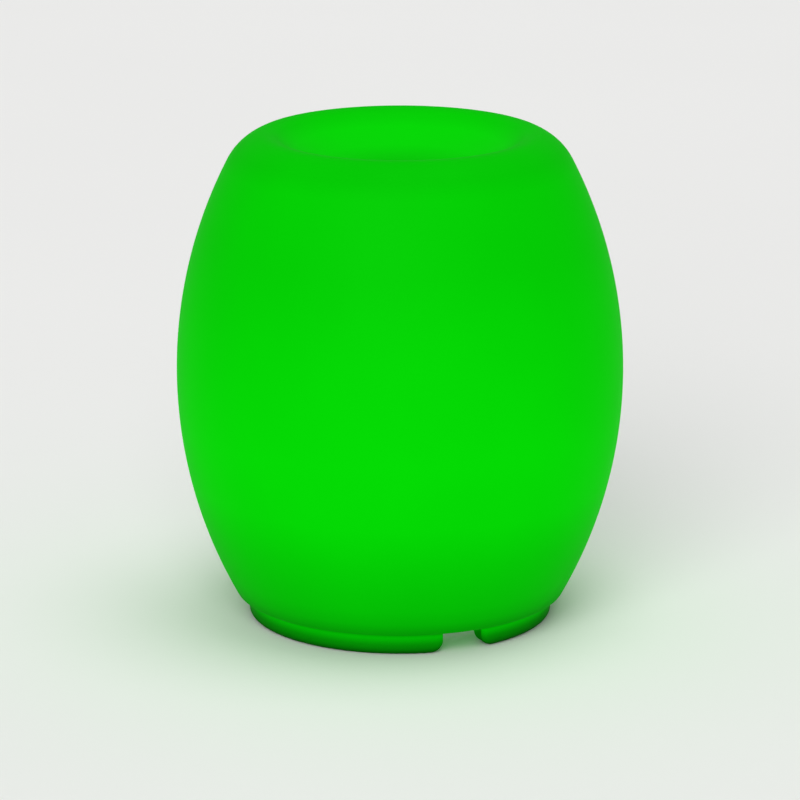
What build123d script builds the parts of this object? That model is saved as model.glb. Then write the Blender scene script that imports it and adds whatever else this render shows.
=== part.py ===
from build123d import *
import math
import os

# A round, hollow barrel stool that glows, with a dished seat and a foot ring.
# Millimetres, +Z up, origin on the floor at the stool's axis.
# The gap in the foot ring is on the -Y side.

# Outer shape of the moulded shell
stool_height = 430.0
barrel_radius = 194.0
barrel_arc_radius = 405.6
barrel_mid_height = 217.7
rim_radius = 49.6
lip_radius = 20.0
dish_depth = 38.0
edge_radius = 5.0
shell_wall = 4.0
cavity_corner_radius = 2.0

# Foot ring under the shell
base_height = 20.0
foot_radius = 132.5
foot_width = 22.0
foot_round = 5.0
foot_end_round = 11.0
foot_gap_width = 36.0
channel_round = 1.5

# Recess and opening in the shell's base
recess_gap = 6.0
recess_depth = 9.0
opening_gap = 4.0

# Light unit housing, which hangs in the base opening from its flange
housing_radius = 66.0
housing_wall = 3.5
flange_edge = 6.5
flange_thickness = 4.0
well_depth = 34.0
panel_thickness = 3.0
chamber_height = 46.0
housing_edge_round = 1.5

# Base gasket, screws and moulded-in inserts
gasket_thickness = 2.0
gasket_step = 1.0
gasket_width = 8.0
base_screw_count = 6
base_screw_gap = 6.5
base_screw_radius = 2.0
base_screw_head_radius = 3.8
base_screw_head_height = 2.4
base_screw_length = 15.0
insert_radius = 3.5
insert_collar_radius = 4.3
insert_collar_height = 1.5
insert_length = 12.0
insert_cap = 1.5
boss_wall = 3.5
boss_top_round = 2.1

# Small screws
small_screw_radius = 1.25
small_screw_head_radius = 2.5
small_screw_head_height = 1.8
small_screw_length = 7.0
post_radius = 3.5
pilot_extra = 1.0

# Diffuser dome, its gasket and screws
plate_thickness = 2.0
dome_flange_width = 16.0
dome_height = 38.0
dome_side_height = 5.5
dome_wall = 2.0
dome_flange_thickness = 2.5
dome_gasket_thickness = 1.5
dome_screw_count = 6
dome_screw_inset = 8.0
dome_screw_radius = 1.5
dome_screw_head_radius = 3.0
dome_screw_head_height = 2.2
dome_screw_length = 16.0
dome_boss_radius = 5.5
dome_boss_height = 16.0
dome_boss_slope = 4.4
dome_shoulder_radius = 20.0

# Light board
led_board_gap = 4.0
led_board_thickness = 1.6
led_size = 5.0
led_height = 1.5
led_lens_radius = 1.9
led_lens_depth = 0.4
inner_led_count = 6
inner_led_ring = 15.0
outer_led_count = 12
outer_led_inset = 13.0
led_screw_count = 3
led_screw_inset = 5.0
receiver_width = 6.0
receiver_height = 4.0
receiver_eye_radius = 2.3

# Battery pack
cell_radius = 9.2
cell_length = 65.0
cell_count = 3
cell_nub_radius = 3.0
cell_nub_height = 0.8
cell_edge_round = 0.6
sleeve_thickness = 0.5
sleeve_clearance = 0.1
pack_gap = 3.8
pad_thickness = 1.5
pad_margin = 10.0
bracket_thickness = 1.5
bracket_width = 24.0
bracket_foot = 11.0
bracket_clearance = 0.2

# Control board on four posts
control_height = 27.0
control_thickness = 1.6
control_overhang = 0.8
control_edge_gap = 2.0
control_side_gap = 5.0
post_gap = 2.0
post_edge_gap = 5.5
post_inset = 3.55
connector_width = 8.0
connector_depth = 6.0
connector_height = 6.0
connector_wall = 1.0
connector_inset = 3.5
led_connector_inset = 39.0
capacitor_radius = 4.0
capacitor_height = 9.0
capacitor_pitch = 12.0
capacitor_round = 0.7
groove_height = 0.8
groove_depth = 0.3
parts_row_inset = 23.0
chip_height = 1.4
chip_chamfer = 0.3
main_chip_size = 9.0
main_chip_x = 16.0
small_chip_length = 6.0
small_chip_width = 5.0
small_chip_x = -26.0
small_chip_inset = 25.0
small_chip_pitch = 10.0

# Push button in the panel
button_x = -24.0
button_y = -30.0
button_barrel_radius = 8.0
button_barrel_length = 18.0
button_flange_radius = 11.0
button_flange_thickness = 2.6
button_flange_round = 1.0
button_cap_radius = 5.5
button_cap_round = 0.6
button_cap_stand = 2.4
button_collar = 0.9
button_collar_height = 2.0
button_collar_seat = 4.0
button_dish_radius = 18.0
button_dish_depth = 0.7
button_travel = 2.0
button_roof = 2.0
spring_wire_radius = 0.35
spring_radius = 3.6
spring_turns = 4
nut_height = 3.5
nut_rim = 3.0
seal_thickness = 1.0
seal_rim = 2.0

# Charging socket in the panel, for a 5.5 mm plug with a 2.1 mm pin
socket_x = 24.0
socket_y = -30.0
socket_barrel_radius = 5.5
socket_barrel_length = 17.0
socket_flange_radius = 8.5
socket_flange_thickness = 2.0
socket_bore_radius = 2.8
socket_bore_depth = 11.0
socket_pin_radius = 1.05
socket_pin_recess = 2.5
socket_pin_chamfer = 0.4
cover_thickness = 2.2
cover_round = 0.8
cover_gap = 0.3
cover_stub_radius = 2.4
cover_stub_length = 1.5
hinge_offset = 11.5
hinge_pin_radius = 0.8
hinge_knuckle_radius = 2.0
hinge_knuckle_length = 3.6
hinge_lug_length = 2.4

# Terminals and leads
terminal_width = 2.8
terminal_thickness = 0.6
terminal_length = 5.0
terminal_spread = 2.0
lead_radius = 0.7
lead_bend_radius = 4.0
lead_pitch = 2.2
lead_reach = 8.2

# Named clearances
running_clearance = 0.05
thread_clearance = 0.03
hole_clearance = 0.3
side_clearance = 0.3
stop_clearance = 0.05

# How near to a plane an edge counts as lying in it
edge_tolerance = 0.1

# Radii that follow from the sizes above
well_radius = housing_radius - housing_wall
base_opening_radius = housing_radius + opening_gap
gasket_inner_radius = base_opening_radius + gasket_step
gasket_outer_radius = gasket_inner_radius + gasket_width
base_screw_circle = gasket_outer_radius + base_screw_gap
flange_radius = base_screw_circle + flange_edge
recess_radius = flange_radius + recess_gap
dome_radius = housing_radius - dome_flange_width
dome_screw_circle = housing_radius - dome_screw_inset
led_board_radius = dome_radius - dome_wall - led_board_gap
led_screw_circle = led_board_radius - led_screw_inset
outer_led_ring = led_board_radius - outer_led_inset
control_board_radius = well_radius - control_edge_gap

# Heights that follow from the sizes above
recess_z = base_height + recess_depth
flange_top = recess_z - gasket_thickness
flange_bottom = flange_top - flange_thickness
panel_bottom = flange_bottom + well_depth
panel_top = panel_bottom + panel_thickness
housing_top = panel_top + chamber_height
plate_top = housing_top + plate_thickness
dome_base = plate_top + dome_gasket_thickness
led_board_top = plate_top + led_board_thickness
control_bottom = panel_top + control_height
control_top = control_bottom + control_thickness
bracket_post_top = panel_top + small_screw_length

BOTTOM = (Align.CENTER, Align.CENTER, Align.MIN)


def cylinder(radius, z_low, z_high, x=0.0, y=0.0):
    """A plain upright cylinder between two heights."""
    return Pos(x, y, z_low) * Cylinder(radius, z_high - z_low, align=BOTTOM)


def tube(outer, inner, z_low, z_high, x=0.0, y=0.0):
    """An upright tube between two heights."""
    return cylinder(outer, z_low, z_high, x, y) - cylinder(inner, z_low, z_high, x, y)


def block(x_size, y_size, z_low, z_high, x=0.0, y=0.0):
    """An upright block between two heights."""
    return Pos(x, y, z_low) * Box(x_size, y_size, z_high - z_low, align=BOTTOM)


def hexagon(across_flats, z_low, z_high, x, y):
    """A hexagonal bar between two heights."""
    outline = RegularPolygon(across_flats / 2, 6, major_radius=False)
    return extrude(Pos(x, y, z_low) * outline, z_high - z_low)


def turned(edges):
    """The solid that a closed half outline, drawn as radius and height, sweeps round Z."""
    return revolve(Plane.XZ * make_face(edges), Axis.Z)


def circle_points(count, radius, first_angle=0.0):
    """Evenly spaced points on a circle about the stool's axis."""
    step = 2 * math.pi / count
    start = math.radians(first_angle)
    angles = [start + step * i for i in range(count)]
    return [(radius * math.cos(a), radius * math.sin(a)) for a in angles]


def pan_screw(x, y, seat_z, radius, length, head_radius, head_height, direction):
    """A pan head screw with a cross recess; its shank runs along direction from its seat."""
    head = cylinder(head_radius, 0, head_height)
    head = fillet(head.edges().group_by(Axis.Z)[-1], head_height * 0.45)
    slot_length = head_radius * 1.1
    slot_width = head_radius * 0.3
    slot_z = head_height * 0.55
    slot = Box(slot_length, slot_width, head_height, align=BOTTOM)
    cross = Pos(0, 0, slot_z) * (slot + Rot(0, 0, 90) * slot)
    shank = chamfer(cylinder(radius, -length, 0).edges().group_by(Axis.Z)[0], radius * 0.4)
    screw = head - cross + shank
    if direction > 0:
        screw = Rot(180, 0, 0) * screw
    return Pos(x, y, seat_z) * screw


def save(shapes, node):
    """Write one node, which may hold several separate solids."""
    solids = []
    for shape in shapes:
        solids.extend(shape.solids())
    export_step(Compound(solids), f"parts/{node}.step")


# Places of the moulded shell's arcs, as radius and height
barrel_x = barrel_radius - barrel_arc_radius
rim_z = stool_height - rim_radius
rim_reach = barrel_arc_radius - rim_radius
crest_radius = barrel_x + math.sqrt(rim_reach**2 - (rim_z - barrel_mid_height) ** 2)
lip_z = stool_height - lip_radius
dish_radius = (crest_radius**2 + dish_depth**2 - 2 * lip_radius * dish_depth) / (2 * dish_depth)
dish_centre_z = stool_height - dish_depth + dish_radius


def barrel_solid(inset, corner_radius):
    """The barrel with its dished top; inset moves its whole surface inwards."""
    arc_radius = barrel_arc_radius - inset
    floor_z = base_height + inset
    corner_z = floor_z + corner_radius
    corner_rise = corner_z - barrel_mid_height
    corner_x = barrel_x + math.sqrt((arc_radius - corner_radius) ** 2 - corner_rise**2)
    low_angle = math.degrees(math.atan2(corner_rise, corner_x - barrel_x))
    rim_angle = math.degrees(math.atan2(rim_z - barrel_mid_height, crest_radius - barrel_x))
    lip_angle = math.degrees(math.atan2(dish_centre_z - lip_z, -crest_radius))
    bowl_angle = math.degrees(math.atan2(lip_z - dish_centre_z, crest_radius))
    bowl_low = dish_centre_z - dish_radius - inset
    edges = [
        Line((0, floor_z), (corner_x, floor_z)),
        CenterArc((corner_x, corner_z), corner_radius, -90, low_angle + 90),
        CenterArc((barrel_x, barrel_mid_height), arc_radius, low_angle, rim_angle - low_angle),
        CenterArc((crest_radius, rim_z), rim_radius - inset, rim_angle, 90 - rim_angle),
        CenterArc((crest_radius, lip_z), lip_radius - inset, 90, lip_angle - 90),
        CenterArc((0, dish_centre_z), dish_radius + inset, bowl_angle, -90 - bowl_angle),
        Line((0, bowl_low), (0, floor_z)),
    ]
    return turned(edges)


def foot_solid(inset, top_z, side_round):
    """The foot ring with its gap and rounded ends; inset moves all its walls inwards but the top."""
    outer = foot_radius - inset
    inner = foot_radius - foot_width + inset
    gap_width = foot_gap_width + 2 * inset
    ring = tube(outer, inner, inset, top_z)
    ring -= block(gap_width, foot_radius, inset, top_z, 0, -foot_radius + foot_width / 2)
    ends = ring.faces().filter_by(Axis.X)
    ring = fillet([face.edges().sort_by(Axis.Z)[0] for face in ends], foot_end_round - inset)
    side_edges = []
    for edge in ring.edges():
        middle = edge.position_at(0.5)
        reach = math.hypot(middle.X, middle.Y)
        on_side = min(abs(reach - outer), abs(reach - inner)) < edge_tolerance
        if on_side and middle.Z < top_z - edge_tolerance:
            side_edges.append(edge)
    return fillet(side_edges, side_round)


insert_points = circle_points(base_screw_count, base_screw_circle)


def insert_blank(x, y):
    """Outer form of a moulded-in insert, also the hole that it fills."""
    collar = cylinder(insert_collar_radius, recess_z, recess_z + insert_collar_height, x, y)
    return collar + cylinder(insert_radius, recess_z, recess_z + insert_length, x, y)


def make_shell():
    """Hollow stool shell: seat, barrel wall, recessed base and hollow foot ring."""
    outside = barrel_solid(0, edge_radius) + foot_solid(0, base_height, foot_round)
    outside -= cylinder(recess_radius, base_height, recess_z)
    cavity = barrel_solid(shell_wall, cavity_corner_radius)
    cavity += foot_solid(shell_wall, base_height + shell_wall, channel_round)
    cavity -= cylinder(recess_radius + shell_wall, 0, recess_z + shell_wall)
    boss_radius = insert_collar_radius + boss_wall
    boss_top = recess_z + insert_length + boss_wall
    for x, y in insert_points:
        boss = cylinder(boss_radius, recess_z, boss_top, x, y)
        cavity -= fillet(boss.edges().group_by(Axis.Z)[-1], boss_top_round)
    shell = outside - cavity
    shell -= cylinder(base_opening_radius, recess_z, recess_z + shell_wall)
    for x, y in insert_points:
        shell -= insert_blank(x, y)
    return shell


def make_inserts():
    """Blind threaded inserts in the shell's base."""
    bore_top = recess_z + insert_length - insert_cap
    bore_radius = base_screw_radius + thread_clearance
    inserts = []
    for x, y in insert_points:
        inserts.append(insert_blank(x, y) - cylinder(bore_radius, recess_z, bore_top, x, y))
    return inserts


def make_base_screws():
    """Screws that hold the light unit's flange up against the shell."""
    sizes = (base_screw_radius, base_screw_length, base_screw_head_radius, base_screw_head_height)
    return [pan_screw(x, y, flange_bottom, *sizes, 1) for x, y in insert_points]


dome_points = circle_points(dome_screw_count, dome_screw_circle, 30.0)
dome_grip = plate_thickness + dome_gasket_thickness + dome_flange_thickness
pack_length = cell_length + cell_nub_height + 2 * (sleeve_thickness + sleeve_clearance)
pack_width = 2 * cell_radius * cell_count + 2 * (sleeve_thickness + sleeve_clearance)
pack_height = 2 * (cell_radius + sleeve_thickness + sleeve_clearance)
pack_corner_y = math.sqrt((well_radius - pack_gap) ** 2 - (pack_length / 2) ** 2)
pack_y = pack_corner_y - pack_width / 2
pack_front = pack_y - pack_width / 2
control_post_x = pack_length / 2 + post_radius + post_gap
control_x_half = control_post_x + control_side_gap
post_circle = control_board_radius - post_inset
post_back = math.sqrt(post_circle**2 - control_post_x**2)
control_y_front = pack_front - control_overhang
control_y_back = post_back + post_edge_gap
post_rows = (control_y_front + post_edge_gap, post_back)
post_points = [(side * control_post_x, y) for side in (-1, 1) for y in post_rows]
connector_y = control_y_front + connector_inset
led_connector_y = control_y_front + led_connector_inset
parts_row_y = control_y_front + parts_row_inset
small_chip_y = control_y_front + small_chip_inset
pack_bottom = panel_top + pad_thickness
pack_top = pack_bottom + pack_height
leg_x = pack_length / 2 + bracket_clearance
bracket_screw_x = leg_x + bracket_thickness + (bracket_foot - bracket_thickness) / 2
bracket_points = [(-bracket_screw_x, pack_y), (bracket_screw_x, pack_y)]


def pilot_hole(x, y, top, length, radius):
    """Hole for a screw that cuts its own thread, a little deeper than the screw."""
    return cylinder(radius + thread_clearance, top - length - pilot_extra, top, x, y)


def make_housing():
    """Light unit housing: flange, open well underneath, panel and closed chamber above."""
    flange = tube(flange_radius, well_radius, flange_bottom, flange_top)
    can = tube(housing_radius, well_radius, flange_bottom, housing_top)
    body = flange + can
    circles = body.edges().filter_by(GeomType.CIRCLE)
    rim_edges = [e for e in circles if e.center().Z < flange_bottom + edge_tolerance]
    body = fillet(rim_edges, housing_edge_round)
    body += cylinder(well_radius, panel_bottom, panel_top)
    boss_low = housing_top - dome_boss_height
    dome_pilot = dome_screw_length - dome_grip
    for x, y in dome_points:
        boss = cylinder(dome_boss_radius, boss_low, housing_top, x, y)
        slope = chamfer(boss.edges().group_by(Axis.Z)[0], dome_boss_slope)
        body += slope & cylinder(housing_radius, boss_low, housing_top)
    board_grip = small_screw_length - control_thickness
    for x, y in post_points:
        body += cylinder(post_radius, panel_top, control_bottom, x, y)
        body -= pilot_hole(x, y, control_bottom, board_grip, small_screw_radius)
    bracket_grip = small_screw_length - bracket_thickness
    for x, y in bracket_points:
        body += cylinder(post_radius, panel_top, bracket_post_top, x, y)
        body -= pilot_hole(x, y, bracket_post_top, bracket_grip, small_screw_radius)
    for x, y in dome_points:
        body -= pilot_hole(x, y, housing_top, dome_pilot, dome_screw_radius)
    for x, y in insert_points:
        body -= cylinder(base_screw_radius + hole_clearance, flange_bottom, flange_top, x, y)
    button_hole = button_barrel_radius + hole_clearance
    socket_hole = socket_barrel_radius + hole_clearance
    body -= cylinder(button_hole, panel_bottom, panel_top, button_x, button_y)
    body -= cylinder(socket_hole, panel_bottom, panel_top, socket_x, socket_y)
    return body


led_screw_points = circle_points(led_screw_count, led_screw_circle, 90.0)
solder_y = (inner_led_ring + outer_led_ring) / 2
solder_points = [((i - 1.5) * lead_pitch, solder_y) for i in range(4)]


def make_led_plate():
    """Aluminium plate that closes the housing and carries the light board."""
    plate = cylinder(housing_radius, housing_top, plate_top)
    for x, y in dome_points:
        plate -= cylinder(dome_screw_radius + hole_clearance, housing_top, plate_top, x, y)
    for x, y in led_screw_points:
        plate -= cylinder(small_screw_radius + thread_clearance, housing_top, plate_top, x, y)
    slot = SlotOverall(5 * lead_pitch, 2 * lead_pitch)
    return plate - extrude(Pos(0, solder_y, housing_top) * slot, plate_thickness)


def make_dome_gasket():
    """Flat gasket between the plate and the diffuser's flange."""
    gasket = tube(housing_radius, dome_radius, plate_top, dome_base)
    for x, y in dome_points:
        gasket -= cylinder(dome_screw_radius + hole_clearance, plate_top, dome_base, x, y)
    return gasket


def make_dome():
    """Milky diffuser: a thin dome with a screw flange."""
    top = dome_base + dome_height
    flange_z = dome_base + dome_flange_thickness
    shoulder_x = dome_radius - dome_shoulder_radius
    shoulder_z = flange_z + dome_side_height
    rise = top - shoulder_z
    crown_gap = rise - dome_shoulder_radius
    crown_radius = (shoulder_x**2 + rise**2 - dome_shoulder_radius**2) / (2 * crown_gap)
    crown_z = top - crown_radius
    angle = math.degrees(math.atan2(shoulder_z - crown_z, shoulder_x))
    inner_shoulder = dome_shoulder_radius - dome_wall
    inner_radius = dome_radius - dome_wall
    edges = [
        Line((inner_radius, dome_base), (housing_radius, dome_base)),
        Line((housing_radius, dome_base), (housing_radius, flange_z)),
        Line((housing_radius, flange_z), (dome_radius, flange_z)),
        Line((dome_radius, flange_z), (dome_radius, shoulder_z)),
        CenterArc((shoulder_x, shoulder_z), dome_shoulder_radius, 0, angle),
        CenterArc((0, crown_z), crown_radius, angle, 90 - angle),
        Line((0, top), (0, top - dome_wall)),
        CenterArc((0, crown_z), crown_radius - dome_wall, 90, angle - 90),
        CenterArc((shoulder_x, shoulder_z), inner_shoulder, angle, -angle),
        Line((inner_radius, shoulder_z), (inner_radius, dome_base)),
    ]
    dome = turned(edges)
    for x, y in dome_points:
        dome -= cylinder(dome_screw_radius + hole_clearance, dome_base, flange_z, x, y)
    return dome


def make_dome_screws():
    """Screws down through the diffuser's flange into the housing."""
    seat = dome_base + dome_flange_thickness
    sizes = (dome_screw_radius, dome_screw_length, dome_screw_head_radius, dome_screw_head_height)
    return [pan_screw(x, y, seat, *sizes, -1) for x, y in dome_points]


def small_screws(points, seat_z):
    """Small screws with their heads on a board or a foot."""
    sizes = (small_screw_radius, small_screw_length, small_screw_head_radius, small_screw_head_height)
    return [pan_screw(x, y, seat_z, *sizes, -1) for x, y in points]


def make_led_board():
    """Round board for the light packages, with its screw and lead holes."""
    board = cylinder(led_board_radius, plate_top, led_board_top)
    for x, y in led_screw_points:
        board -= cylinder(small_screw_radius + hole_clearance, plate_top, led_board_top, x, y)
    for x, y in solder_points:
        board -= cylinder(lead_radius + running_clearance, plate_top, led_board_top, x, y)
    return board


def make_led_packages():
    """Square light packages in rings, each with a round window."""
    package = block(led_size, led_size, 0, led_height)
    package -= cylinder(led_lens_radius, led_height - led_lens_depth, led_height)
    rings = ((inner_led_count, inner_led_ring), (outer_led_count, outer_led_ring))
    packages = []
    for count, radius in rings:
        for x, y in circle_points(count, radius, 15.0):
            turn = math.degrees(math.atan2(y, x))
            packages.append(Pos(x, y, led_board_top) * Rot(0, 0, turn) * package)
    return packages


def make_receiver():
    """Receiver for the hand control, at the middle of the light board."""
    top = led_board_top + receiver_height
    body = block(receiver_width, receiver_width, led_board_top, top)
    return body + Pos(0, 0, top) * Sphere(receiver_eye_radius)


cell_z = pack_bottom + sleeve_thickness + sleeve_clearance + cell_radius


def make_cells():
    """Cylindrical cells side by side, every second one turned round."""
    cells = []
    for i in range(cell_count):
        cell = cylinder(cell_radius, 0, cell_length)
        cell = fillet(cell.edges().filter_by(GeomType.CIRCLE), cell_edge_round)
        cell += cylinder(cell_nub_radius, cell_length, cell_length + cell_nub_height)
        cell = Pos(0, 0, -(cell_length + cell_nub_height) / 2) * cell
        y = pack_y + (i - (cell_count - 1) / 2) * 2 * cell_radius
        cells.append(Pos(0, y, cell_z) * Rot(0, 90 if i % 2 else -90, 0) * cell)
    return cells


def make_sleeve():
    """Shrink sleeve round the cells, open at both ends."""
    outer = SlotOverall(pack_width, pack_height)
    inner = SlotOverall(pack_width - 2 * sleeve_thickness, pack_height - 2 * sleeve_thickness)
    end = Plane(origin=(-pack_length / 2, pack_y, cell_z), x_dir=(0, 1, 0), z_dir=(1, 0, 0))
    return extrude(end * (outer - inner), pack_length)


def make_bracket():
    """Bent strap over the battery pack, with a screwed foot at each end."""
    foot_z = bracket_post_top
    strap_low = pack_top + bracket_clearance
    strap_top = strap_low + bracket_thickness
    outer_x = leg_x + bracket_thickness
    bracket = block(2 * outer_x, bracket_width, foot_z, strap_top, 0, pack_y)
    bracket -= block(2 * leg_x, bracket_width, foot_z, strap_low, 0, pack_y)
    corners = bracket.edges().filter_by(Axis.Y).group_by(Axis.Z)[-1]
    bracket = fillet(corners, bracket_thickness)
    for side in (-1, 1):
        foot_x = side * (leg_x + bracket_foot / 2)
        foot = block(bracket_foot, bracket_width, foot_z, foot_z + bracket_thickness, foot_x, pack_y)
        bracket += fillet(foot.edges().filter_by(Axis.Z), bracket_thickness)
    for x, y in bracket_points:
        bracket -= cylinder(small_screw_radius + hole_clearance, foot_z, strap_low, x, y)
    return bracket


def make_control_board():
    """Control board, trimmed to the round chamber."""
    depth = control_y_back - control_y_front
    middle = (control_y_back + control_y_front) / 2
    board = block(2 * control_x_half, depth, control_bottom, control_top, 0, middle)
    board &= cylinder(control_board_radius, control_bottom, control_top)
    for x, y in post_points:
        board -= cylinder(small_screw_radius + hole_clearance, control_bottom, control_top, x, y)
    return board


def make_control_chips():
    """Black packages on the control board: one large and three small."""
    top = control_top + chip_height
    chips = [block(main_chip_size, main_chip_size, control_top, top, main_chip_x, parts_row_y)]
    for step in (-1, 0, 1):
        y = small_chip_y + step * small_chip_pitch
        chips.append(block(small_chip_length, small_chip_width, control_top, top, small_chip_x, y))
    return [chamfer(chip.edges().group_by(Axis.Z)[-1], chip_chamfer) for chip in chips]


def make_capacitors():
    """Two upright cans, each with a rolled groove near its foot."""
    groove_z = control_top + 2 * groove_height
    groove_radius = capacitor_radius - groove_depth
    groove = tube(capacitor_radius + groove_depth, groove_radius, groove_z, groove_z + groove_height)
    can = cylinder(capacitor_radius, control_top, control_top + capacitor_height)
    can = fillet(can.edges().group_by(Axis.Z)[-1], capacitor_round) - groove
    return [Pos(x, parts_row_y, 0) * can for x in (-capacitor_pitch, 0)]


seal_low = panel_bottom - seal_thickness
connector_top = control_top + connector_height
connector_mid = control_top + connector_height / 2
connector_front = connector_y - connector_depth / 2
slot_depth = connector_depth / 2


def connector_shell(x, y, length):
    """A plain header block, before its slot is cut."""
    return block(length, connector_depth, control_top, connector_top, x, y)


def make_connectors():
    """Headers on the control board: three face the front edge and one faces up."""
    slot_size = connector_width - 2 * connector_wall
    slot_low = control_top + connector_wall
    slot_high = connector_top - connector_wall
    headers = []
    for x in (button_x, 0.0, socket_x):
        slot_y = connector_front + slot_depth / 2
        slot = block(slot_size, slot_depth, slot_low, slot_high, x, slot_y)
        headers.append(connector_shell(x, connector_y, connector_width) - slot)
    long_size = 4 * lead_pitch + 2 * connector_wall
    slot = block(4 * lead_pitch, slot_depth, connector_mid, connector_top, 0, led_connector_y)
    headers.append(connector_shell(0, led_connector_y, long_size) - slot)
    return headers


def panel_nut(barrel_radius_used, x, y):
    """Hexagonal nut on a threaded barrel, above the panel."""
    nut = hexagon(2 * (barrel_radius_used + nut_rim), panel_top, panel_top + nut_height, x, y)
    nut -= cylinder(barrel_radius_used + thread_clearance, panel_top, panel_top + nut_height, x, y)
    return nut


def panel_seal(barrel_radius_used, x, y):
    """Flat seal between a flange and the panel's underside."""
    outer = barrel_radius_used + seal_rim
    inner = barrel_radius_used + thread_clearance
    return tube(outer, inner, seal_low, panel_bottom, x, y)


button_low = seal_low - button_flange_thickness
button_top = panel_bottom + button_barrel_length
button_roof_z = button_top - button_roof
collar_z = button_low + button_collar_seat
cap_low = button_low - button_cap_stand
cap_top = collar_z + stop_clearance + button_collar_height
button_stop_z = cap_top + button_travel + stop_clearance


def make_button_body():
    """Switch body: flange below the panel and a threaded barrel through it."""
    flange = cylinder(button_flange_radius, button_low, seal_low)
    flange = fillet(flange.edges().group_by(Axis.Z)[0], button_flange_round)
    body = flange + cylinder(button_barrel_radius, seal_low, button_top)
    body -= cylinder(button_cap_radius + running_clearance, button_low, collar_z)
    collar_bore = button_cap_radius + button_collar + running_clearance
    body -= cylinder(collar_bore, collar_z, button_stop_z)
    spring_bore = spring_radius + spring_wire_radius + hole_clearance
    body -= cylinder(spring_bore, button_stop_z, button_roof_z)
    return Pos(button_x, button_y, 0) * body


def make_button_cap():
    """Round cap with a shallow finger dish and a collar that keeps it in the body."""
    cap = cylinder(button_cap_radius, cap_low, cap_top)
    cap = fillet(cap.edges().group_by(Axis.Z)[0], button_cap_round)
    cap += cylinder(button_cap_radius + button_collar, collar_z + stop_clearance, cap_top)
    ball_z = cap_low + button_dish_depth - button_dish_radius
    cap -= Pos(0, 0, ball_z) * Sphere(button_dish_radius)
    return Pos(button_x, button_y, 0) * cap


def make_button_spring():
    """Coil spring between the cap and the roof of the switch body."""
    height = button_roof_z - cap_top - 2 * spring_wire_radius
    path = Helix(height / spring_turns, height, spring_radius)
    section = Plane(origin=path @ 0, z_dir=path % 0) * Circle(spring_wire_radius)
    coil = sweep(section, path, is_frenet=True)
    return Pos(button_x, button_y, cap_top + spring_wire_radius) * coil


def terminals(x, y, top):
    """Two flat blades on the top of a switch or a socket."""
    blade = block(terminal_width, terminal_thickness, top, top + terminal_length, x, y)
    return [Pos(side * terminal_spread, 0, 0) * blade for side in (-1, 1)]


socket_low = seal_low - socket_flange_thickness
socket_top = panel_bottom + socket_barrel_length
cover_top = socket_low - cover_gap
hinge_y = socket_y + hinge_offset
hinge_z = cover_top - cover_thickness / 2
lug_x = hinge_knuckle_length / 2 + side_clearance + hinge_lug_length / 2
hinge_pin_length = 2 * lug_x + hinge_lug_length


def cross_rod(radius, length, x, y, z):
    """A cylinder along X, centred on a point."""
    return Pos(x, y, z) * Rot(0, 90, 0) * Cylinder(radius, length)


def make_socket_body():
    """Charging socket: flange with two hinge lugs, threaded barrel and plug bore."""
    body = cylinder(socket_flange_radius, socket_low, seal_low, socket_x, socket_y)
    body += cylinder(socket_barrel_radius, seal_low, socket_top, socket_x, socket_y)
    arm_end = hinge_y + hinge_knuckle_radius
    arm_length = arm_end - socket_y
    for side in (-1, 1):
        x = socket_x + side * lug_x
        body += block(hinge_lug_length, arm_length, socket_low, seal_low, x, arm_end - arm_length / 2)
        body += block(hinge_lug_length, 2 * hinge_knuckle_radius, hinge_z, seal_low, x, hinge_y)
        body += cross_rod(hinge_knuckle_radius, hinge_lug_length, x, hinge_y, hinge_z)
    body -= cylinder(socket_bore_radius, socket_low, socket_low + socket_bore_depth, socket_x, socket_y)
    pin_hole = hinge_pin_radius + thread_clearance
    return body - cross_rod(pin_hole, 2 * hinge_pin_length, socket_x, hinge_y, hinge_z)


def make_socket_pin():
    """Centre pin of the charging socket."""
    low = socket_low + socket_pin_recess
    pin = cylinder(socket_pin_radius, low, socket_low + socket_bore_depth, socket_x, socket_y)
    return chamfer(pin.edges().group_by(Axis.Z)[0], socket_pin_chamfer)


def make_socket_cover():
    """Splash cover with a short stub, hinged beside the socket."""
    cover_low = cover_top - cover_thickness
    disc = cylinder(socket_flange_radius, cover_low, cover_top, socket_x, socket_y)
    disc = fillet(disc.edges().group_by(Axis.Z)[0], cover_round)
    stub_top = socket_low + cover_stub_length
    stub = cylinder(cover_stub_radius, cover_top, stub_top, socket_x, socket_y)
    web_y = hinge_y - hinge_offset / 2
    web = block(hinge_knuckle_length, hinge_offset, cover_low, cover_top, socket_x, web_y)
    knuckle = cross_rod(hinge_knuckle_radius, hinge_knuckle_length, socket_x, hinge_y, hinge_z)
    pin_hole = hinge_pin_radius + running_clearance
    bore = cross_rod(pin_hole, 2 * hinge_knuckle_length, socket_x, hinge_y, hinge_z)
    return disc + stub + web + knuckle - bore


def lead(points, bend_radius):
    """A round lead along straight runs with rounded bends."""
    path = FilletPolyline(*points, radius=bend_radius)
    return sweep(Plane(origin=path @ 0, z_dir=path % 0) * Circle(lead_radius), path)


slot_end_y = connector_front + slot_depth


def panel_leads(x, y, top):
    """Two leads from the blades of a switch or socket to the header above it."""
    start_z = top + terminal_length
    leads = []
    for side in (-1, 1):
        lead_x = x + side * terminal_spread
        points = ((lead_x, y, start_z), (lead_x, y, connector_mid), (lead_x, slot_end_y, connector_mid))
        leads.append(lead(points, lead_bend_radius))
    return leads


def battery_lead(side):
    """One lead from the battery pack's front, round the board's edge to its header."""
    x = side * lead_pitch / 2
    bend_y = control_y_front - lead_reach
    rise = [(x, pack_front, cell_z), (x, bend_y, cell_z)]
    entry = [(x, bend_y, connector_mid), (x, slot_end_y, connector_mid)]
    return lead(rise + entry, lead_bend_radius)


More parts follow.
